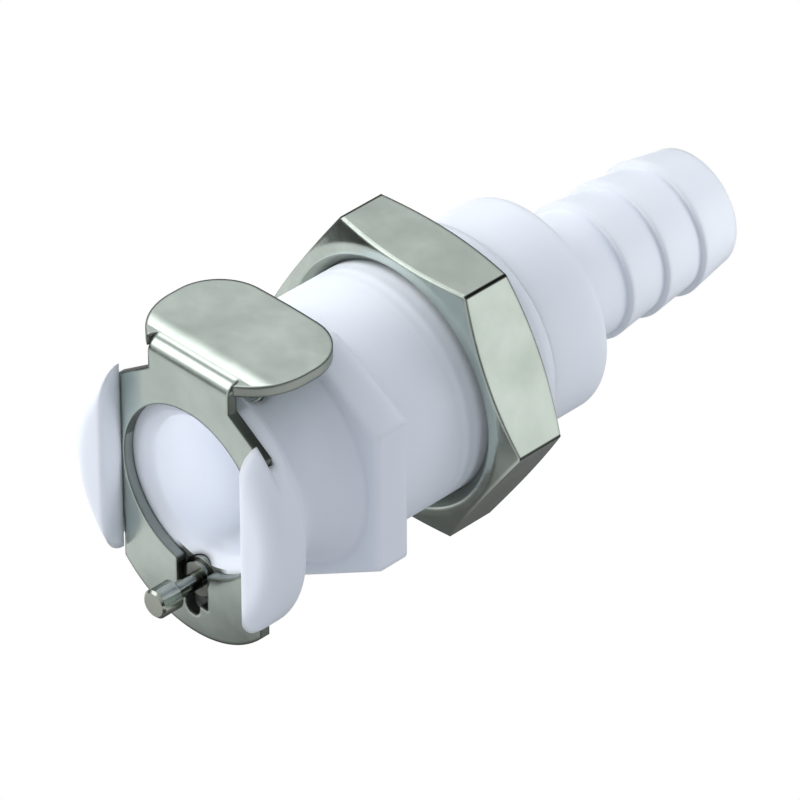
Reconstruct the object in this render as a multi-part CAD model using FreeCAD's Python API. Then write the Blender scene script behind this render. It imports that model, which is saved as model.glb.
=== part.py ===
# Panel-mount quick-disconnect coupling for tubing: a moulded acetal body with a stainless
# thumb latch at its mouth, a spring valve inside, a hex panel nut and a hose barb.
# X runs along the flow axis from the mouth (-X) to the barb (+X). +Z is up, through the thumb
# tab. The origin is on the axis at the flange face that seats against the panel.
# The pieces stand as they wait for the mating insert: the latch is held down by its pin.
import FreeCAD, Part
import math
import os

# Hex flange and threaded barrel
flange_flats = 20.6
flange_thick = 3.3
flange_top = 10.1
flange_round = 0.6
flange_front_round = 0.4
flange_turn = 30.0
thread_dia = 18.64
thread_length = 16.4
thread_chamfer = 0.5

# Neck and head of the body
head_dia = 21.6
head_front = 13.9
head_round = 1.8
neck_dia = 15.6
flare_dia = 18.7
cone_length = 2.3
cone_drop = 2.4
valley_shift = 0.4
trim_gap = 0.35

# Channel between the ears and the slot that the latch plate slides in
ear_cover = 1.9
channel_width = 14.2
channel_round = 0.3
plate_gap = 0.1
plate_side_gap = 0.15

# Thumb latch, one bent strip
strip_thick = 0.85
plate_width = 15.2
plate_bottom = 12.05
plate_bottom_radius = 9.7
window_side_wall = 0.7
window_lift = 0.4
stem_width = 8.2
foot_inset = 0.5
foot_top = -5.6
stem_root = 9.25
shoulder_end = 6.9
tab_top = 11.8
tab_width = 14.0
tab_length = 9.95
tab_lead = 0.2
tab_relief = 0.3
tab_side = 4.9
tab_corner = 4.1
tab_end_bow = 0.3
bend_radius = 1.2
latch_travel = 1.6

# Latch pin and its spring
pin_drop = 7.7
pin_reach = 1.85
pin_dia = 2.3
pin_head_gap = 0.25
pin_neck_dia = 1.3
pin_engage = 0.35
pin_shoulder_dia = 2.8
pin_collar_dia = 3.3
pin_collar_length = 0.9
pin_tail_dia = 1.1
pin_tail_length = 1.6
pin_fit = 0.07
pin_edge = 0.2
pin_travel = 1.7
pin_hole_end = 3.0
pin_boss_wall = 1.0
pin_wire = 0.3
pin_spring_turns = 5

# Keyhole at the bottom of the latch window
notch_side_gap = 0.2
notch_floor_gap = 0.35
keyhole_side_gap = 0.1
keyhole_end_gap = 0.6

# Latch spring and its pocket
latch_spring_offset = 4.5
latch_spring_dia = 4.8
latch_wire = 0.5
latch_spring_turns = 3.5
pocket_gap = 0.25
pocket_floor = 6.9

# Bores of the body
mouth_bore = 11.3
mouth_depth = 9.5
mouth_lead = 0.75
nose_bore = 9.2
nose_depth = 5.5
nose_lead = 0.8
seat_bore = 6.4
seat_thick = 1.2
chamber_bore = 12.0

# Valve poppet, its seal and its spring
poppet_nose_dia = 3.6
poppet_nose_reach = 2.0
poppet_hub_dia = 5.7
poppet_disc_dia = 9.4
poppet_disc_thick = 1.2
guide_count = 4
guide_turn = 45.0
guide_width = 1.4
guide_gap = 0.15
guide_end_gap = 0.1
seal_wire = 1.5
seal_gap = 0.05
valve_wire = 0.6
valve_spring_dia = 8.4
valve_spring_turns = 4
valve_travel = 2.3

# Panel nut
nut_wall = 1.78
nut_thick = 5.5
nut_end_gap = 2.84
nut_turn = 3.8
nut_gap = 0.08
nut_bevel_inset = 0.15
nut_bevel_angle = 20.0
nut_sink = 0.8

# Hose barb tail
spigot_length = 3.0
spigot_gap = 0.03
tail_seal_wire = 1.0
tail_groove_width = 1.3
tail_groove_place = 1.5
collar_dia = 17.3
collar_length = 5.9
collar_round = 0.5
tail_stem_dia = 10.2
tail_stem_length = 5.7
barb_dia = 11.15
barb_count = 3
barb_pitch = 3.95
barb_tip_dia = 9.8
barb_tip_length = 4.2
barb_tip_round = 0.25
tail_bore = 6.8

# Sides of the drawn spring wire
wire_sides = 8

# Places along the axis that follow from the sizes
slot_front_x = ear_cover - head_front
plate_front_x = slot_front_x + plate_gap
plate_rear_x = plate_front_x + strip_thick
foot_width = plate_width - 2 * foot_inset
window_dia = plate_width - 2 * window_side_wall
slot_rear_x = plate_rear_x + plate_gap
latch_spring_x = plate_front_x + latch_spring_offset
pin_front_x = -head_front - pin_reach
pin_neck_x = plate_front_x - pin_travel - pin_head_gap
pin_step_x = plate_rear_x - pin_engage
keyhole_depth = pin_drop + pin_neck_dia / 2 + latch_travel + keyhole_end_gap
seat_front_x = slot_rear_x + mouth_depth + nose_depth
seat_rear_x = seat_front_x + seat_thick
disc_front_x = seat_rear_x + seal_gap + seal_wire
disc_rear_x = disc_front_x + poppet_disc_thick
nut_x = thread_length - nut_end_gap - nut_thick
nut_flats = thread_dia + 2 * nut_wall
spigot_x = thread_length - spigot_length
guide_end_x = spigot_x - valve_travel - guide_end_gap
groove_x = spigot_x + tail_groove_place
collar_end_x = thread_length + collar_length
first_barb_x = collar_end_x + tail_stem_length

AXIS = FreeCAD.Vector(1, 0, 0)
UP = FreeCAD.Vector(0, 0, 1)


def point(x, y, z):
    return FreeCAD.Vector(x, y, z)


def side_plane(x, z):
    return point(x, 0, z)


def front_plane(y, z):
    return point(0, y, z)


def top_plane(x, y):
    return point(x, y, 0)


def outline(start, steps, plane):
    # a step is an end point, or the middle and end points of an arc
    edges = []
    last = start
    for step in steps:
        if isinstance(step[0], tuple):
            middle, end = step
            edges.append(Part.Arc(plane(*last), plane(*middle), plane(*end)).toShape())
        else:
            end = step
            edges.append(Part.makeLine(plane(*last), plane(*end)))
        last = end
    return Part.Face(Part.Wire(edges))


def turned(start, steps):
    face = outline(start, steps, side_plane)
    return face.revolve(point(0, 0, 0), AXIS, 360)


def rod(dia, x_from, x_to, z=0.0):
    return Part.makeCylinder(dia / 2, x_to - x_from, point(x_from, 0, z), AXIS)


def block(x_from, x_to, y_half, z_from, z_to):
    size = (x_to - x_from, 2 * y_half, z_to - z_from)
    return Part.makeBox(*size, point(x_from, -y_half, z_from))


def hex_prism(flats, x_from, x_to, turn):
    # turn is the angle of one corner from +Y toward +Z
    radius = flats / math.sqrt(3)
    corners = []
    for k in range(6):
        angle = math.radians(turn + 60 * k)
        corners.append(point(x_from, radius * math.cos(angle), radius * math.sin(angle)))
    face = Part.Face(Part.makePolygon(corners + corners[:1]))
    return face.extrude(AXIS * (x_to - x_from))


def coil(dia, wire, turns, start, length, axis):
    # a helical spring that just touches both ends of its length
    radius = (dia - wire) / 2
    rise = length - wire
    helix = Part.makeHelix(rise / turns, rise, radius)
    corners = []
    for k in range(wire_sides + 1):
        angle = math.radians((k + 0.5) * 360 / wire_sides)
        corners.append(point(radius + wire / 2 * math.cos(angle), 0, wire / 2 * math.sin(angle)))
    spring = Part.Wire(helix).makePipeShell([Part.makePolygon(corners)], True, True)
    spring.translate(point(0, 0, wire / 2))
    spring.Placement = FreeCAD.Placement(start, FreeCAD.Rotation(UP, axis)).multiply(spring.Placement)
    return spring


def shoulder_line(gap):
    # the latch's sloping shoulder, lowered by a gap: slope, and height at the stem's edge
    slope = (stem_root - shoulder_end) / (plate_width / 2 - stem_width / 2)
    return slope, stem_root - gap


def body_outside():
    head_r = head_dia / 2
    corner = head_round * (1 - math.sqrt(0.5))
    rim_x = slot_rear_x + plate_gap
    cone_x = rim_x + cone_length
    cone_r = head_r - cone_drop
    valley_x = (cone_x - flange_thick) / 2 - valley_shift
    shell = turned((-head_front, 0), [
        (-head_front, head_r - head_round),
        ((-head_front + corner, head_r - corner), (-head_front + head_round, head_r)),
        (rim_x, head_r),
        (cone_x, cone_r),
        ((valley_x, neck_dia / 2), (-flange_thick, flare_dia / 2)),
        (-flange_thick, 0),
        (-head_front, 0)])
    barrel_r = thread_dia / 2
    barrel = turned((-flange_thick, 0), [
        (-flange_thick, barrel_r),
        (thread_length - thread_chamfer, barrel_r),
        (thread_length, barrel_r - thread_chamfer),
        (thread_length, 0),
        (-flange_thick, 0)])
    return shell.fuse([hex_flange(), barrel, pin_boss()])


def hex_flange():
    flange = hex_prism(flange_flats, -flange_thick, 0, flange_turn)
    flange = flange.common(block(-flange_thick, 0, flange_flats, -flange_flats, flange_top))
    middle_x = -flange_thick / 2
    rear_edges = [e for e in flange.Edges if e.BoundBox.XMin > middle_x]
    flange = flange.makeFillet(flange_round, rear_edges)
    front_edges = [e for e in flange.Edges if e.BoundBox.XMax < middle_x]
    return flange.makeFillet(flange_front_round, front_edges)


def pin_boss():
    # ridge under the neck that holds the latch pin's spring
    return rod(pin_collar_dia + 2 * (pin_fit + pin_boss_wall), slot_rear_x, -flange_thick, -pin_drop)


def channel_space():
    # the gap between the ears, with rounded lips
    inner = channel_width / 2
    outer = inner + channel_round
    out_x = -head_front - head_round
    lip = channel_round * (1 - math.sqrt(0.5))
    lip_x = -head_front + channel_round
    face = outline((slot_rear_x, -inner), [
        (lip_x, -inner),
        ((-head_front + lip, -inner - lip), (-head_front, -outer)),
        (out_x, -outer),
        (out_x, outer),
        (-head_front, outer),
        ((-head_front + lip, inner + lip), (lip_x, inner)),
        (slot_rear_x, inner),
        (slot_rear_x, -inner)], top_plane)
    face.translate(point(0, 0, -head_dia))
    return face.extrude(UP * (2 * head_dia))


def plate_space():
    half = plate_width / 2 + plate_side_gap
    return block(slot_front_x, slot_rear_x, half, -head_dia, head_dia)


def shoulder_space():
    # the head is cut away above the latch's shoulders
    slope, root = shoulder_line(trim_gap)
    far = head_dia
    low = root - slope * (far - stem_width / 2)
    face = outline((-far, far), [
        (-far, low),
        (-stem_width / 2, root),
        (stem_width / 2, root),
        (far, low),
        (far, far),
        (-far, far)], front_plane)
    face.translate(point(slot_front_x, 0, 0))
    return face.extrude(AXIS * (-flange_thick - slot_front_x))


def flow_space():
    mouth_r = mouth_bore / 2
    nose_r = nose_bore / 2
    seat_r = seat_bore / 2
    nose_x = slot_rear_x + mouth_depth
    chamber_r = chamber_bore / 2
    return turned((slot_rear_x, 0), [
        (slot_rear_x, mouth_r + mouth_lead),
        (slot_rear_x + mouth_lead, mouth_r),
        (nose_x, mouth_r),
        (nose_x, nose_r + nose_lead),
        (nose_x + nose_lead, nose_r),
        (seat_front_x, nose_r),
        (seat_front_x, seat_r),
        (seat_rear_x, seat_r),
        (seat_rear_x, chamber_r),
        (thread_length, chamber_r),
        (thread_length, 0),
        (slot_rear_x, 0)])


def pin_space():
    return rod(pin_collar_dia + 2 * pin_fit, slot_rear_x, -pin_hole_end, -pin_drop)


def latch_spring_space():
    pocket_r = latch_spring_dia / 2 + pocket_gap
    foot = point(latch_spring_x, 0, pocket_floor)
    return Part.makeCylinder(pocket_r, head_dia, foot, UP)


def body():
    front = [channel_space(), plate_space(), shoulder_space()]
    bores = [flow_space(), pin_space(), latch_spring_space()]
    return body_outside().cut(front + bores).removeSplitter()


def hose_barb_tail():
    spigot_r = chamber_bore / 2 - spigot_gap
    groove_r = chamber_bore / 2 - tail_seal_wire
    collar_r = collar_dia / 2
    corner = collar_round * (1 - math.sqrt(0.5))
    stem_r = tail_stem_dia / 2
    steps = [
        (spigot_x, spigot_r),
        (groove_x - tail_groove_width / 2, spigot_r),
        (groove_x - tail_groove_width / 2, groove_r),
        (groove_x + tail_groove_width / 2, groove_r),
        (groove_x + tail_groove_width / 2, spigot_r),
        (thread_length, spigot_r),
        (thread_length, collar_r),
        (collar_end_x - collar_round, collar_r),
        ((collar_end_x - corner, collar_r - corner), (collar_end_x, collar_r - collar_round)),
        (collar_end_x, stem_r),
        (first_barb_x, stem_r)]
    for k in range(barb_count):
        steps.append((first_barb_x + k * barb_pitch, barb_dia / 2))
        if k < barb_count - 1:
            steps.append((first_barb_x + (k + 1) * barb_pitch, stem_r))
    tip_x = first_barb_x + (barb_count - 1) * barb_pitch + barb_tip_length
    tip_r = barb_tip_dia / 2
    tip = barb_tip_round * (1 - math.sqrt(0.5))
    steps.append((tip_x - barb_tip_round, tip_r))
    steps.append(((tip_x - tip, tip_r - tip), (tip_x, tip_r - barb_tip_round)))
    steps.append((tip_x, tail_bore / 2))
    steps.append((spigot_x, tail_bore / 2))
    return turned((spigot_x, tail_bore / 2), steps)


def panel_nut():
    end_x = nut_x + nut_thick
    corner_r = nut_flats / math.sqrt(3)
    face_r = nut_flats / 2 - nut_bevel_inset
    bevel = (corner_r - face_r) * math.tan(math.radians(nut_bevel_angle))
    hole_r = thread_dia / 2 + nut_gap
    sink_r = hole_r + nut_sink
    lens = turned((nut_x, sink_r), [
        (nut_x, face_r),
        (nut_x + bevel, corner_r),
        (end_x - bevel, corner_r),
        (end_x, face_r),
        (end_x, sink_r),
        (end_x - nut_sink, hole_r),
        (nut_x + nut_sink, hole_r),
        (nut_x, sink_r)])
    return hex_prism(nut_flats, nut_x, end_x, nut_turn).common(lens)


def latch_plate():
    # the upright plate, drawn in the YZ plane: stem, sloping shoulders and a round foot
    half = plate_width / 2
    stem = stem_width / 2
    foot = foot_width / 2
    arc_z = plate_bottom_radius - plate_bottom
    foot_z = arc_z - math.sqrt(plate_bottom_radius ** 2 - foot ** 2)
    step_z = foot_top + foot_inset
    bend_z = tab_top - bend_radius
    face = outline((-foot, foot_z), [
        ((0, -plate_bottom), (foot, foot_z)),
        (foot, foot_top),
        (half, step_z),
        (half, shoulder_end),
        (stem, stem_root),
        (stem, bend_z),
        (-stem, bend_z),
        (-stem, stem_root),
        (-half, shoulder_end),
        (-half, step_z),
        (-foot, foot_top),
        (-foot, foot_z)], front_plane)
    face.translate(point(plate_front_x, 0, 0))
    return face.extrude(AXIS * strip_thick)


def latch_window():
    # the round window, with the stepped keyhole for the pin at its bottom
    window = rod(window_dia, plate_front_x, plate_rear_x, window_lift)
    notch_half = pin_shoulder_dia / 2 + notch_side_gap
    notch_floor = -pin_drop - pin_shoulder_dia / 2 - notch_floor_gap
    notch = block(plate_front_x, plate_rear_x, notch_half, notch_floor, 0)
    keyhole_r = pin_neck_dia / 2 + keyhole_side_gap
    keyhole_z = keyhole_r - keyhole_depth
    keyhole = block(plate_front_x, plate_rear_x, keyhole_r, keyhole_z, 0)
    return window.fuse([notch, keyhole, rod(2 * keyhole_r, plate_front_x, plate_rear_x, keyhole_z)])


def latch_bend():
    inner = bend_radius - strip_thick
    middle = math.sqrt(0.5)
    centre_x = plate_front_x + bend_radius
    centre_z = tab_top - bend_radius
    face = outline((centre_x - bend_radius, centre_z), [
        ((centre_x - bend_radius * middle, centre_z + bend_radius * middle), (centre_x, tab_top)),
        (centre_x, tab_top - strip_thick),
        ((centre_x - inner * middle, centre_z + inner * middle), (centre_x - inner, centre_z)),
        (centre_x - bend_radius, centre_z)], side_plane)
    face.translate(point(0, -stem_width / 2, 0))
    return face.extrude(point(0, stem_width, 0))


def latch_tab():
    # the thumb tab in plan: two lobes that start beside the bend, round sides and a bowed end
    bend_x = plate_front_x + bend_radius
    lead_x = plate_front_x + tab_lead
    side_x = plate_front_x + tab_side
    far_x = plate_front_x + tab_length
    end_x = far_x - tab_end_bow
    half = tab_width / 2
    stem = stem_width / 2
    lead = stem + tab_relief
    run = side_x - lead_x
    side_r = (run ** 2 + (half - lead) ** 2) / (2 * (half - lead))
    turn = math.asin(run / side_r) / 2
    middle_x = side_x - side_r * math.sin(turn)
    middle = half - side_r * (1 - math.cos(turn))
    face = outline((bend_x, -stem), [
        (lead_x, -lead),
        ((middle_x, -middle), (side_x, -half)),
        (end_x, -half),
        ((far_x, 0), (end_x, half)),
        (side_x, half),
        ((middle_x, middle), (lead_x, lead)),
        (bend_x, stem),
        (bend_x, -stem)], top_plane)
    face.translate(point(0, 0, tab_top - strip_thick))
    tab = face.extrude(UP * strip_thick)
    upright = [e for e in tab.Edges if e.BoundBox.ZLength > strip_thick / 2]
    corners = [e for e in upright if e.BoundBox.XMin > (side_x + end_x) / 2]
    return tab.makeFillet(tab_corner, corners)


def thumb_latch():
    return latch_plate().cut(latch_window()).fuse([latch_bend(), latch_tab()]).removeSplitter()


def latch_pin():
    head_r = pin_dia / 2
    neck_r = pin_neck_dia / 2
    shoulder_r = pin_shoulder_dia / 2
    collar_r = pin_collar_dia / 2
    tail_r = pin_tail_dia / 2
    collar_x = slot_rear_x + pin_collar_length
    pin = turned((pin_front_x, 0), [
        (pin_front_x, head_r - pin_edge),
        (pin_front_x + pin_edge, head_r),
        (pin_neck_x, head_r),
        (pin_neck_x, neck_r),
        (pin_step_x, neck_r),
        (pin_step_x, shoulder_r),
        (slot_rear_x, shoulder_r),
        (slot_rear_x, collar_r),
        (collar_x, collar_r),
        (collar_x, tail_r),
        (collar_x + pin_tail_length, tail_r),
        (collar_x + pin_tail_length, 0),
        (pin_front_x, 0)])
    pin.translate(point(0, 0, -pin_drop))
    return pin


def pin_spring():
    start_x = slot_rear_x + pin_collar_length
    start = point(start_x, 0, -pin_drop)
    return coil(pin_collar_dia - pin_wire, pin_wire, pin_spring_turns, start, -pin_hole_end - start_x, AXIS)


def latch_spring():
    start = point(latch_spring_x, 0, pocket_floor)
    length = tab_top - strip_thick - pocket_floor
    return coil(latch_spring_dia, latch_wire, latch_spring_turns, start, length, UP)


def valve_poppet():
    nose_r = poppet_nose_dia / 2
    hub_r = poppet_hub_dia / 2
    disc_r = poppet_disc_dia / 2
    poppet = turned((seat_front_x - poppet_nose_reach, 0), [
        (seat_front_x - poppet_nose_reach, nose_r),
        (seat_rear_x, nose_r),
        (seat_rear_x + seal_gap, hub_r),
        (disc_front_x, hub_r),
        (disc_front_x, disc_r),
        (disc_rear_x, disc_r),
        (disc_rear_x, 0),
        (seat_front_x - poppet_nose_reach, 0)])
    guide_r = chamber_bore / 2 - guide_gap
    ring = rod(2 * guide_r, disc_front_x, guide_end_x)
    ring = ring.cut(rod(poppet_disc_dia - valve_wire, disc_front_x, guide_end_x))
    guide_length = guide_end_x - disc_front_x
    corner = point(disc_front_x, -guide_width / 2, 0)
    for k in range(guide_count):
        arm = Part.makeBox(guide_length, guide_width, chamber_bore, corner)
        arm.rotate(point(0, 0, 0), AXIS, guide_turn + k * 360 / guide_count)
        poppet = poppet.fuse(ring.common(arm))
    return poppet.removeSplitter()


def valve_seal():
    torus_r = (poppet_hub_dia + seal_wire) / 2
    return Part.makeTorus(torus_r, seal_wire / 2, point(disc_front_x - seal_wire / 2, 0, 0), AXIS)


def tail_seal():
    # the O-ring in the spigot's groove, pressed between the tail and the body
    torus_r = (chamber_bore - tail_seal_wire) / 2
    return Part.makeTorus(torus_r, tail_seal_wire / 2, point(groove_x, 0, 0), AXIS)


def valve_spring():
    start = point(disc_rear_x, 0, 0)
    return coil(valve_spring_dia, valve_wire, valve_spring_turns, start, spigot_x - disc_rear_x, AXIS)


PIECES = {
    "body": body,
    "hose_barb_tail": hose_barb_tail,
    "panel_nut": panel_nut,
    "thumb_latch": thumb_latch,
    "latch_spring": latch_spring,
    "latch_pin": latch_pin,
    "pin_spring": pin_spring,
    "valve_poppet": valve_poppet,
    "valve_seal": valve_seal,
    "valve_spring": valve_spring,
    "tail_seal": tail_seal,
}

os.makedirs("parts", exist_ok=True)
for name, make in PIECES.items():
    make().exportStep("parts/" + name + ".step")
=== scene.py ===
# Looks for a panel-mount quick-disconnect coupling: a white acetal body and barb, a plated hex nut
# and a stainless thumb latch. Lengths are in metres, in the CAD part's frame.
import bpy
import math
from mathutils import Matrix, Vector


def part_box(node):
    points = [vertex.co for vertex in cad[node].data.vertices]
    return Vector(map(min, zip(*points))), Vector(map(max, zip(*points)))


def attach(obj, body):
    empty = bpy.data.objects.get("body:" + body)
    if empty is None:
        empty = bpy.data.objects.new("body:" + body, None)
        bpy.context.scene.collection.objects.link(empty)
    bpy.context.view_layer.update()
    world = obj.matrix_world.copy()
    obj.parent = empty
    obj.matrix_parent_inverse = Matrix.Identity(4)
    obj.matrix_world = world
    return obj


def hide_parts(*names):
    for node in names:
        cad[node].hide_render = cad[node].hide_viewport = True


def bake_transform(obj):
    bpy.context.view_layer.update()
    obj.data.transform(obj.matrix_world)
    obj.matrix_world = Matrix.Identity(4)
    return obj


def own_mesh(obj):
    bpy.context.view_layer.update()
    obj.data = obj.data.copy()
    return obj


MM = 0.001

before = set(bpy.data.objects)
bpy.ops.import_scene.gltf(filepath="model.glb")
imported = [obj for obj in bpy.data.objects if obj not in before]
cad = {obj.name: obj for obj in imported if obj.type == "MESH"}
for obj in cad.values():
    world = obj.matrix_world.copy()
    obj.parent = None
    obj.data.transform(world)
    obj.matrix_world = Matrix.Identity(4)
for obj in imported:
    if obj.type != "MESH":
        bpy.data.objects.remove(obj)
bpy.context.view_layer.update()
latch_low, latch_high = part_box("thumb_latch")
pin_low, pin_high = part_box("latch_pin")

# Colours. Where there are two, a noise or a mask mixes them.
ACETAL = ((0.80, 0.835, 0.90), (0.84, 0.87, 0.925))
# painted shade for the pin's hole in the body
PIN_HOLE_SHADE = (0.10, 0.11, 0.10)
LATCH_STEEL = ((0.45, 0.515, 0.47), (0.64, 0.715, 0.665))
# cut-edge colours, partly the raw metal and partly painted reflection; the corner colour is a painted
# dark reflection
RAW_CUT_AND_REFLECTION = ((0.14, 0.16, 0.14), (0.34, 0.37, 0.34))
CORNER_REFLECTION = (0.09, 0.10, 0.09)
NUT_PLATING = ((0.45, 0.512, 0.46), (0.64, 0.712, 0.655))
# painted shade for the nut's run-in, and a painted dark reflection for its hexagon's corners
RUN_IN_SHADE = (0.30, 0.33, 0.28)
HEX_CORNER_REFLECTION = (0.04, 0.045, 0.04)
PIN_STEEL = ((0.35, 0.38, 0.335), (0.44, 0.47, 0.415))
WIRE_STEEL = ((0.48, 0.51, 0.48), (0.56, 0.59, 0.56))
RUBBER = ((0.012, 0.012, 0.013), (0.028, 0.028, 0.03))

# Noise scales, in cells per metre
PLASTIC_MOTTLE, PLASTIC_GLOSS = 90.0, 400.0
METAL_CLOUD, METAL_GLOSS = 260.0, 520.0
METAL_GRAIN, METAL_DENT = 900.0, 180.0
RUBBER_DUST = 700.0

# Depths of relief
MOTTLE_DEPTH = 0.04 * MM
THREAD_DEPTH = 0.02 * MM
GRAIN_DEPTH = 0.012 * MM
DENT_DEPTH = 0.05 * MM
ROLL_DEPTH = 0.16 * MM

# How much rougher a cut edge is, and the cosine at which the painted dark reflection on a corner is
# full
CUT_ROUGHER = 0.22
CORNER_COSINE = 1 - 1 / 2.4
# How far open air is looked for round the pin, and how much a sheltered place keeps of its colour under
# the painted shade
SHELTER_REACH, SHELTER_KEEPS = 3.0 * MM, 0.10

# Places on the part that the masks go by: along X, up Z, or out from the flow axis
THREAD_PITCH = 1.2 * MM
THREAD_FROM, THREAD_TO = 5.5 * MM, 16.4 * MM
THREAD_FADE_IN, THREAD_FADE_OUT = 1.5 * MM, 0.4 * MM
BARREL_INSIDE = 8.9 * MM
PIN_HOLE_Z = (pin_low[2] + pin_high[2]) / 2
# reach, fade and rear end of the painted shade round the pin's hole
PIN_SHADE_REACH, PIN_SHADE_FADE = 3.3 * MM, 0.8 * MM
PIN_SHADE_REAR_X = latch_low[0] + 2.3 * MM
MOUTH_OUTSIDE = 6.3 * MM
WINDOW_OUTSIDE = 7.0 * MM
BEND_RADIUS = 1.2 * MM
BEND_REAR_X = latch_low[0] + BEND_RADIUS
BEND_LOW_Z = latch_high[2] - BEND_RADIUS
TAB_FLAT_X = BEND_REAR_X + 1.4 * MM
TAB_LOW_Z = latch_high[2] - 0.9 * MM
TAB_TOP_Z = latch_high[2] - 0.1 * MM
NUT_HOLE_RIM = 10.15 * MM
NUT_CORNER = 12.78 * MM
CORNER_LINE_FROM, CORNER_LINE_FULL = NUT_CORNER - 0.075 * MM, NUT_CORNER - 0.025 * MM


# Node trees

class Graph:
    # an emptied node tree, with a short call for each kind of node used here

    def __init__(self, tree):
        self.nodes, self.links = tree.nodes, tree.links
        self.nodes.clear()

    def add(self, kind, **settings):
        node = self.nodes.new(kind)
        for name, value in settings.items():
            setattr(node, name, value)
        return node

    def put(self, value, socket):
        # links another node's output, or sets a number or a colour on the socket
        if hasattr(value, "is_output"):
            self.links.new(value, socket)
        else:
            socket.default_value = value

    def place(self):
        # a point's x, y and z in its own object, which at rest are the part's
        return self.parts(self.add("ShaderNodeTexCoord").outputs["Object"])

    def parts(self, vector):
        node = self.add("ShaderNodeSeparateXYZ")
        self.links.new(vector, node.inputs[0])
        return node.outputs

    def dot(self, vector, other):
        node = self.add("ShaderNodeVectorMath", operation="DOT_PRODUCT")
        self.put(vector, node.inputs[0])
        self.put(other, node.inputs[1])
        return node.outputs["Value"]

    def math(self, operation, a, b=0.0, c=0.0, clamp=False):
        node = self.add("ShaderNodeMath", operation=operation, use_clamp=clamp)
        for value, socket in zip((a, b, c), node.inputs):
            self.put(value, socket)
        return node.outputs[0]

    def times(self, a, b):
        return self.math("MULTIPLY", a, b)

    def above(self, value, limit):
        return self.math("GREATER_THAN", value, limit)

    def below(self, value, limit):
        return self.math("LESS_THAN", value, limit)

    def largest(self, a, b):
        return self.math("MAXIMUM", a, b)

    def ramp(self, value, none, full):
        # zero at one value and one at the other, straight between them and held outside
        slope = 1 / (full - none)
        return self.math("MULTIPLY_ADD", value, slope, -none * slope, clamp=True)

    def length(self, across, up):
        # of a step with these two parts at right angles
        return self.math("POWER", self.math("ADD", self.times(across, across), self.times(up, up)), 0.5)

    def spread(self, value, low, high):
        # from the range 0 to 1 to another
        node = self.add("ShaderNodeMapRange")
        self.put(value, node.inputs["Value"])
        node.inputs["To Min"].default_value = low
        node.inputs["To Max"].default_value = high
        return node.outputs["Result"]

    def eased(self, value, start, end, low, high):
        # from low at the start to high at the end, smoothly
        node = self.add("ShaderNodeMapRange", interpolation_type="SMOOTHSTEP")
        self.put(value, node.inputs["Value"])
        node.inputs["From Min"].default_value = start
        node.inputs["From Max"].default_value = end
        node.inputs["To Min"].default_value = low
        node.inputs["To Max"].default_value = high
        return node.outputs["Result"]

    def noise(self, scale, detail=3.0):
        node = self.add("ShaderNodeTexNoise")
        node.inputs["Scale"].default_value = scale
        node.inputs["Detail"].default_value = detail
        self.links.new(self.add("ShaderNodeTexCoord").outputs["Object"], node.inputs["Vector"])
        return node.outputs["Fac"]

    def mix(self, factor, first, second, blend="MIX"):
        node = self.add("ShaderNodeMix", data_type="RGBA", blend_type=blend)
        self.put(factor, node.inputs["Factor"])
        for colour, socket in ((first, node.inputs["A"]), (second, node.inputs["B"])):
            self.put((*colour, 1.0) if isinstance(colour, tuple) else colour, socket)
        return node.outputs["Result"]

    def soft_edges(self, radius, samples=6):
        node = self.add("ShaderNodeBevel", samples=samples)
        node.inputs["Radius"].default_value = radius
        return node.outputs["Normal"]

    def bump(self, height, depth, normal):
        node = self.add("ShaderNodeBump")
        node.inputs["Strength"].default_value = 1.0
        node.inputs["Distance"].default_value = depth
        self.links.new(height, node.inputs["Height"])
        self.links.new(normal, node.inputs["Normal"])
        return node.outputs["Normal"]

    def mixed_shader(self, factor, first, second):
        node = self.add("ShaderNodeMixShader")
        for output, socket in zip((factor, first, second), node.inputs):
            self.links.new(output, socket)
        return node.outputs[0]

    def finish(self, shader, kind="ShaderNodeOutputMaterial"):
        self.links.new(shader, self.add(kind).inputs["Surface"])

    def principled(self, settings):
        shader = self.add("ShaderNodeBsdfPrincipled")
        for name, value in settings.items():
            self.put(value, shader.inputs[name])
        self.finish(shader.outputs[0])


def new_material(name):
    made = bpy.data.materials.new(name)
    made.use_nodes = True
    return made, Graph(made.node_tree)


# Plastic and rubber

def acetal(name, depth, edge, with_thread=False):
    # bluish white moulded acetal that light enters a little
    made, g = new_material(name)
    mottle = g.noise(PLASTIC_MOTTLE)
    colour = g.mix(mottle, *ACETAL)
    normal = g.bump(mottle, MOTTLE_DEPTH, g.soft_edges(edge))
    if with_thread:
        normal = g.bump(thread(g), THREAD_DEPTH, normal)
        # painted shade round the latch pin's hole
        colour = g.mix(pin_hole_painted_shade(g), colour, PIN_HOLE_SHADE)
    rough = g.spread(g.noise(PLASTIC_GLOSS), 0.36, 0.44)
    g.principled({
        "Base Color": colour, "Roughness": rough, "Normal": normal, "IOR": 1.40,
        "Subsurface Weight": 0.5, "Subsurface Scale": depth, "Subsurface Radius": (1.0, 1.0, 1.0)})
    return made


def thread(g):
    # the height of a shallow helical thread on the barrel, faded in and out at its ends
    x, y, z = g.place()
    turn = g.math("ARCTAN2", z, y)
    wave = g.math("SINE", g.math("MULTIPLY_ADD", x, 2 * math.pi / THREAD_PITCH, turn))
    start = g.ramp(x, THREAD_FROM, THREAD_FROM + THREAD_FADE_IN)
    end = g.ramp(x, THREAD_TO, THREAD_TO - THREAD_FADE_OUT)
    outer = g.above(g.length(y, z), BARREL_INSIDE)
    return g.times(wave, g.times(g.times(start, end), outer))


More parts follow.
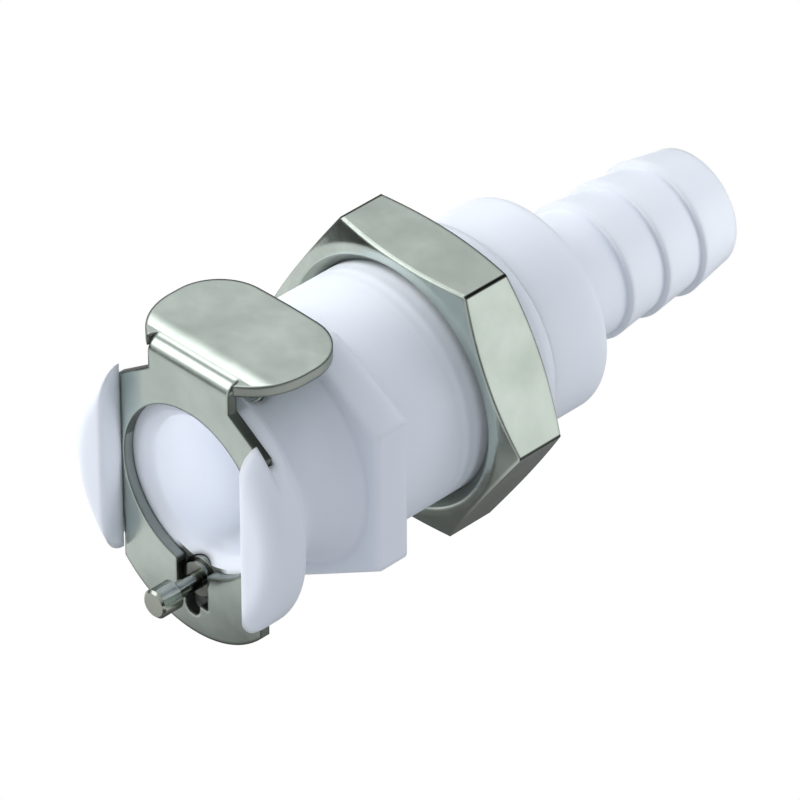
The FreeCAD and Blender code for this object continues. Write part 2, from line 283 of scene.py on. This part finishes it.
def pin_hole_painted_shade(g):
    # painted shade, dark grey, round the latch pin's hole, behind the plate and under the mouth
    x, y, z = g.place()
    away = g.length(y, g.math("SUBTRACT", z, PIN_HOLE_Z))
    near = g.ramp(away, PIN_SHADE_REACH, PIN_SHADE_REACH - PIN_SHADE_FADE)
    ahead = g.below(x, PIN_SHADE_REAR_X)
    under_mouth = g.above(g.length(y, z), MOUTH_OUTSIDE)
    return g.times(near, g.times(ahead, under_mouth))


def rubber(name):
    made, g = new_material(name)
    dust = g.noise(RUBBER_DUST)
    g.principled({"Base Color": g.mix(dust, *RUBBER), "Roughness": g.spread(dust, 0.5, 0.62)})
    return made


# Metals

def metal(name, tints, rough_low, rough_high, edge, marks=None, dented=False, roll=None):
    # clouded metal with rounded edges. marks adds the colours that only one piece has, painted shade
    # and painted reflections among them, roll a height.
    made, g = new_material(name)
    cloud = g.ramp(g.noise(METAL_CLOUD, detail=4.0), 1 / 6, 5 / 6)
    colour = g.mix(cloud, *tints)
    rough = g.spread(g.noise(METAL_GLOSS), rough_low, rough_high)
    rounded = g.soft_edges(edge, samples=12)
    if marks:
        colour, rough = marks(g, colour, rough, rounded)
    normal = g.bump(g.noise(METAL_GRAIN), GRAIN_DEPTH, rounded)
    if dented:
        normal = g.bump(g.noise(METAL_DENT, detail=1.0), DENT_DEPTH, normal)
    if roll:
        normal = g.bump(roll(g), ROLL_DEPTH, normal)
    g.principled({"Base Color": colour, "Metallic": 1.0, "Roughness": rough, "Normal": normal})
    return made


def latch_marks(g, colour, rough, rounded):
    # raw metal on the cut edges, its dark and pale tones partly painted reflection, and a painted dark
    # reflection along the corners
    cut = sheared_edge(g)
    colour = g.mix(cut, colour, g.mix(paler_cut_reflection(g), *RAW_CUT_AND_REFLECTION))
    rough = g.math("MULTIPLY_ADD", cut, CUT_ROUGHER, rough)
    return g.mix(painted_corner_reflection(g, rounded), colour, CORNER_REFLECTION), rough


def sheared_edge(g):
    # one on the cut edges of the bent strip, nothing on its two rolled faces
    facing = g.parts(g.add("ShaderNodeNewGeometry").outputs["True Normal"])
    along, across, up = (g.math("ABSOLUTE", part) for part in facing)
    x, _, z = g.place()
    plate_edge = g.times(g.below(z, BEND_LOW_Z), g.below(along, 0.5))
    tab_edge = g.times(g.above(x, BEND_REAR_X), g.below(up, 0.5))
    return g.largest(g.above(across, 0.5), g.largest(plate_edge, tab_edge))


def paler_cut_reflection(g):
    # painted reflection: the cut edge is paler round the tab and inside the round window
    _, y, z = g.place()
    return g.largest(g.above(z, TAB_LOW_Z), g.below(g.length(y, z), WINDOW_OUTSIDE))


def painted_corner_reflection(g, rounded):
    # painted dark reflection: rises where the rounded normal leaves the flat face, so just along the
    # corners
    flat = g.add("ShaderNodeNewGeometry").outputs["Normal"]
    return g.ramp(g.dot(rounded, flat), 1.0, CORNER_COSINE)


def tab_roll(g):
    # the height of the tab's top, which rolls over a little before it meets the bend
    x, _, z = g.place()
    near = g.ramp(x, TAB_FLAT_X, BEND_REAR_X)
    return g.times(g.times(near, near), g.times(g.above(z, TAB_TOP_Z), -1.0))


def nut_marks(g, colour, rough, rounded):
    # painted shade in the thread's run-in, a painted dark reflection along the hexagon's corners
    _, y, z = g.place()
    radius = g.length(y, z)
    colour = g.mix(g.below(radius, NUT_HOLE_RIM), colour, RUN_IN_SHADE)
    line = g.ramp(radius, CORNER_LINE_FROM, CORNER_LINE_FULL)
    return g.mix(line, colour, HEX_CORNER_REFLECTION), rough


def pin_painted_shade(g, colour, rough, rounded):
    # painted shade where the pin stands deep in its hole, darker where less open air is found
    open_air = g.add("ShaderNodeAmbientOcclusion", samples=8)
    open_air.inputs["Distance"].default_value = SHELTER_REACH
    painted_shade = g.spread(g.math("POWER", open_air.outputs["AO"], 2.0), SHELTER_KEEPS, 1.0)
    return g.mix(1.0, colour, painted_shade, blend="MULTIPLY"), rough


body_plastic = acetal("body_acetal", depth=0.8 * MM, edge=0.8 * MM, with_thread=True)
tail_plastic = acetal("tail_acetal", depth=2.0 * MM, edge=0.7 * MM)
latch_steel = metal("latch_steel", LATCH_STEEL, 0.20, 0.28, 0.36 * MM, latch_marks, dented=True,
                    roll=tab_roll)
nut_plating = metal("nut_plating", NUT_PLATING, 0.15, 0.22, 0.42 * MM, nut_marks, dented=True)
pin_steel = metal("pin_steel", PIN_STEEL, 0.12, 0.18, 0.07 * MM, pin_painted_shade)
wire_steel = metal("wire_steel", WIRE_STEEL, 0.18, 0.26, 0.03 * MM)
seal_rubber = rubber("seal_rubber")

FINISH = {
    "body": (body_plastic, "acetal"),
    "hose_barb_tail": (tail_plastic, "acetal"),
    "panel_nut": (nut_plating, "nut_metal"),
    "thumb_latch": (latch_steel, "latch_steel"),
    "latch_pin": (pin_steel, "pin_steel"),
    "latch_spring": (wire_steel, "spring_steel"),
    "pin_spring": (wire_steel, "spring_steel"),
    "valve_spring": (wire_steel, "spring_steel"),
    "valve_poppet": (tail_plastic, "acetal"),
    "valve_seal": (seal_rubber, "seal_rubber"),
    "tail_seal": (seal_rubber, "seal_rubber"),
}
SHARP_ANGLE = math.radians(32)

for name, (mat, slot_name) in FINISH.items():
    piece = cad[name]
    piece.data.materials.clear()
    piece.data.materials.append(mat)
    piece.data.shade_smooth()
    piece.data.set_sharp_from_angle(angle=SHARP_ANGLE)


# Springs in round wire, in the CAD springs' places

STEPS_PER_TURN = 40
END_TURN = 0.75  # of a turn lies flat at each end


def wire_spring(name, node, body, axis, wire, turns):
    # a helix along X (axis 0) or Z (axis 2) that fills the CAD spring's box
    low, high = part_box(node)
    centre = (low + high) / 2
    centre[axis] = 0.0
    across = 1 if axis == 0 else 0
    radius = (high[across] - low[across]) / 2 - wire / 2
    line = []
    for k in range(int((turns + 2 * END_TURN) * STEPS_PER_TURN) + 1):
        turn = k / STEPS_PER_TURN
        rise = min(max((turn - END_TURN) / turns, 0.0), 1.0)
        along = low[axis] + wire / 2 + rise * (high[axis] - low[axis] - wire)
        a, b = radius * math.cos(2 * math.pi * turn), radius * math.sin(2 * math.pi * turn)
        line.append(centre + (Vector((along, a, b)) if axis == 0 else Vector((a, b, along))))
    curve = bpy.data.curves.new(name, "CURVE")
    curve.dimensions = "3D"
    curve.bevel_depth = wire / 2
    curve.bevel_resolution = 3
    curve.use_fill_caps = True
    spline = curve.splines.new("POLY")
    spline.points.add(len(line) - 1)
    for point, spot in zip(spline.points, line):
        point.co = (*spot, 1.0)
    drawn = bpy.data.objects.new(name + "_curve", curve)
    bpy.context.scene.collection.objects.link(drawn)
    mesh = bpy.data.meshes.new_from_object(drawn.evaluated_get(bpy.context.evaluated_depsgraph_get()))
    bpy.data.objects.remove(drawn)
    bpy.data.curves.remove(curve)
    mesh.name = name
    mesh.shade_smooth()
    mesh.materials.clear()
    mesh.materials.append(wire_steel)
    spring = bpy.data.objects.new(name, mesh)
    bpy.context.scene.collection.objects.link(spring)
    if body:
        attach(spring, body)
    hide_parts(node)
    return spring


pin_coil = wire_spring("pin_spring_coil", "pin_spring", "housing", 0, 0.3 * MM, 5.0)
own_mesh(pin_coil)
valve_coil = wire_spring("valve_spring_coil", "valve_spring", "housing", 0, 0.6 * MM, 3.0)
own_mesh(valve_coil)
# the latch spring rides no body
latch_coil = wire_spring("latch_spring_coil", "latch_spring", None, 2, 0.5 * MM, 2.5)
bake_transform(latch_coil)


# Floor, light and camera

# patches of the room seen in reflections: direction, core and rim in degrees, change of level
ROOM = (
    ((-0.54, 0.58, 0.61), 13, 26, 2.0),
    ((-0.16, 0.58, 0.80), 4, 12, -0.35),
    ((0.30, 0.58, 0.76), 5, 14, 2.2),
    ((-0.72, 0.68, -0.10), 5, 15, -0.7),
    ((0.57, -0.81, 0.10), 14, 32, 0.45),
    ((0.50, -0.60, -0.62), 14, 34, -0.6),
    ((0.57, -0.41, 0.70), 21, 33, -0.84),
    ((-0.53, -0.84, 0.05), 22, 36, -0.84),
    ((-0.57, -0.58, 0.58), 10, 30, -0.5),
    ((0.98, 0.05, 0.12), 16, 30, -0.75),
    ((0.82, 0.57, 0.03), 12, 24, -0.75),
    ((0.30, 0.95, 0.02), 12, 24, -0.6),
    ((-0.25, 0.96, -0.10), 12, 24, -0.6),
    ((-0.60, 0.77, -0.20), 9, 18, -0.75),
)
ROOM_LEVEL, ROOM_DARKEST = 0.86, 0.03

# soft square lights: the place lit in mm, the way to the light, its distance, size and power
LIGHTS = (
    ("key_light", (12, 0, 0), (-0.45, 0.65, 0.61), 0.15, 0.10, 0.19),
    ("tail_light", (38, -4, 0), (0.42, -0.88, 0.22), 0.036, 0.02, 0.0062),
    ("bore_light", (-6.5, 5.5, 2.0), (0.0, -0.93, -0.37), 0.0074, 0.004, 0.00026),
    ("front_light", (-13, 2, 0), (-0.93, -0.35, -0.10), 0.04, 0.02, 0.0014),
)

FLOOR_SIZE, FLOOR_Z = 4.0, -60 * MM

# the card under the object, seen in reflections
CARD_SIZE, CARD_Z = 0.20, -20 * MM
CARD_START_X = -14 * MM
CARD_DARK, CARD_PALE = 0.14, 0.86
CARD_DARK_TO, CARD_PALE_FROM = 3 * MM, 23 * MM
CARD_FAR_FROM, CARD_FAR_TO, CARD_FAR_LOSS = 16 * MM, 28 * MM, 0.14
CARD_SPOT_X, CARD_SPOT_Y = -28 * MM, -15 * MM
CARD_SPOT_CORE, CARD_SPOT_RIM, CARD_SPOT_KEEPS = 5 * MM, 15 * MM, 0.15

# the camera: angles in degrees, the place it aims at along X, its distance and its lens
CAMERA_HEADING, CAMERA_DROP = 44.9, 35.55
CAMERA_AIM_X, CAMERA_DISTANCE = 11.29 * MM, 0.525
CAMERA_LENS, CAMERA_SENSOR = 322.6, 36.0
CAMERA_SHIFT = (-0.0256, -0.046)


def sky():
    # white behind the object, an even room for soft light and a patchy one for reflections
    world = bpy.data.worlds.new("studio")
    bpy.context.scene.world = world
    world.use_nodes = True
    g = Graph(world.node_tree)
    way = g.add("ShaderNodeTexCoord").outputs["Generated"]
    level = ROOM_LEVEL
    for toward, core, rim, change in ROOM:
        facing = g.dot(way, Vector(toward).normalized())
        start, end = math.cos(math.radians(rim)), math.cos(math.radians(core))
        level = g.math("ADD", g.eased(facing, start, end, 0.0, change), level)
    soft = g.add("ShaderNodeBackground")
    soft.inputs["Color"].default_value = (0.90, 0.94, 1.0, 1.0)
    soft.inputs["Strength"].default_value = 0.66
    shine = g.add("ShaderNodeBackground")
    g.put(g.largest(level, ROOM_DARKEST), shine.inputs["Strength"])
    white = g.add("ShaderNodeBackground")
    white.inputs["Color"].default_value = (1.0, 1.0, 1.0, 1.0)
    ray = g.add("ShaderNodeLightPath").outputs
    lit = g.mixed_shader(ray["Is Glossy Ray"], soft.outputs[0], shine.outputs[0])
    g.finish(g.mixed_shader(ray["Is Camera Ray"], lit, white.outputs[0]), "ShaderNodeOutputWorld")


def plane(name, size, z):
    bpy.ops.mesh.primitive_plane_add(size=size, location=(0, 0, z))
    made = bpy.context.object
    made.name = name
    mat, g = new_material(name)
    made.data.materials.append(mat)
    return made, g


def floor():
    # pale for the light that it gives back, white to the camera
    ground, g = plane("floor", FLOOR_SIZE, FLOOR_Z)
    pale = g.add("ShaderNodeBsdfDiffuse")
    pale.inputs["Color"].default_value = (0.60, 0.61, 0.63, 1.0)
    white = g.add("ShaderNodeEmission")
    ray = g.add("ShaderNodeLightPath").outputs
    g.finish(g.mixed_shader(ray["Is Camera Ray"], pale.outputs[0], white.outputs[0]))
    ground.visible_glossy = False


def mirror_card():
    # seen only in reflections: dark right under the object, pale further out
    card, g = plane("mirror_card", CARD_SIZE, CARD_Z)
    x, y, _ = g.place()
    past = g.largest(g.math("SUBTRACT", CARD_START_X, x), 0.0)
    level = g.eased(g.length(past, y), CARD_DARK_TO, CARD_PALE_FROM, CARD_DARK, CARD_PALE)
    # a little darker far in front of the mouth
    far = g.ramp(past, CARD_FAR_FROM, CARD_FAR_TO)
    level = g.times(level, g.math("MULTIPLY_ADD", far, -CARD_FAR_LOSS, 1.0))
    # and dark in one spot, which the low end of the latch plate mirrors
    from_spot = g.length(g.math("SUBTRACT", x, CARD_SPOT_X), g.math("SUBTRACT", y, CARD_SPOT_Y))
    outside_spot = g.largest(g.ramp(from_spot, CARD_SPOT_CORE, CARD_SPOT_RIM), CARD_SPOT_KEEPS)
    glow = g.add("ShaderNodeEmission")
    g.put(g.times(level, outside_spot), glow.inputs["Strength"])
    g.finish(glow.outputs[0])
    card.visible_camera = False
    card.visible_diffuse = False
    card.visible_shadow = False
    card.visible_transmission = False


def panel_light(name, lit_place, toward, distance, size, power):
    direction = Vector(toward).normalized()
    data = bpy.data.lights.new(name, "AREA")
    data.size = size
    data.energy = power
    light = bpy.data.objects.new(name, data)
    light.location = Vector(lit_place) * MM + direction * distance
    light.rotation_euler = direction.to_track_quat("Z", "Y").to_euler()
    bpy.context.scene.collection.objects.link(light)
    light.visible_camera = False
    light.visible_glossy = False


def photo_camera():
    # looks down and along the object, as the photograph does
    heading, drop = math.radians(CAMERA_HEADING), math.radians(CAMERA_DROP)
    level = math.cos(drop)
    view = Vector((math.sin(heading) * level, math.cos(heading) * level, -math.sin(drop)))
    data = bpy.data.cameras.new("camera")
    data.lens = CAMERA_LENS
    data.sensor_width = CAMERA_SENSOR
    data.shift_x, data.shift_y = CAMERA_SHIFT
    data.clip_start = 0.01
    data.clip_end = 20.0
    camera = bpy.data.objects.new("camera", data)
    camera.location = Vector((CAMERA_AIM_X, 0, 0)) - view * CAMERA_DISTANCE
    camera.rotation_euler = view.to_track_quat("-Z", "Y").to_euler()
    bpy.context.scene.collection.objects.link(camera)
    bpy.context.scene.camera = camera


sky()
floor()
mirror_card()
for light_values in LIGHTS:
    panel_light(*light_values)
photo_camera()
bpy.context.scene.view_settings.view_transform = "Standard"
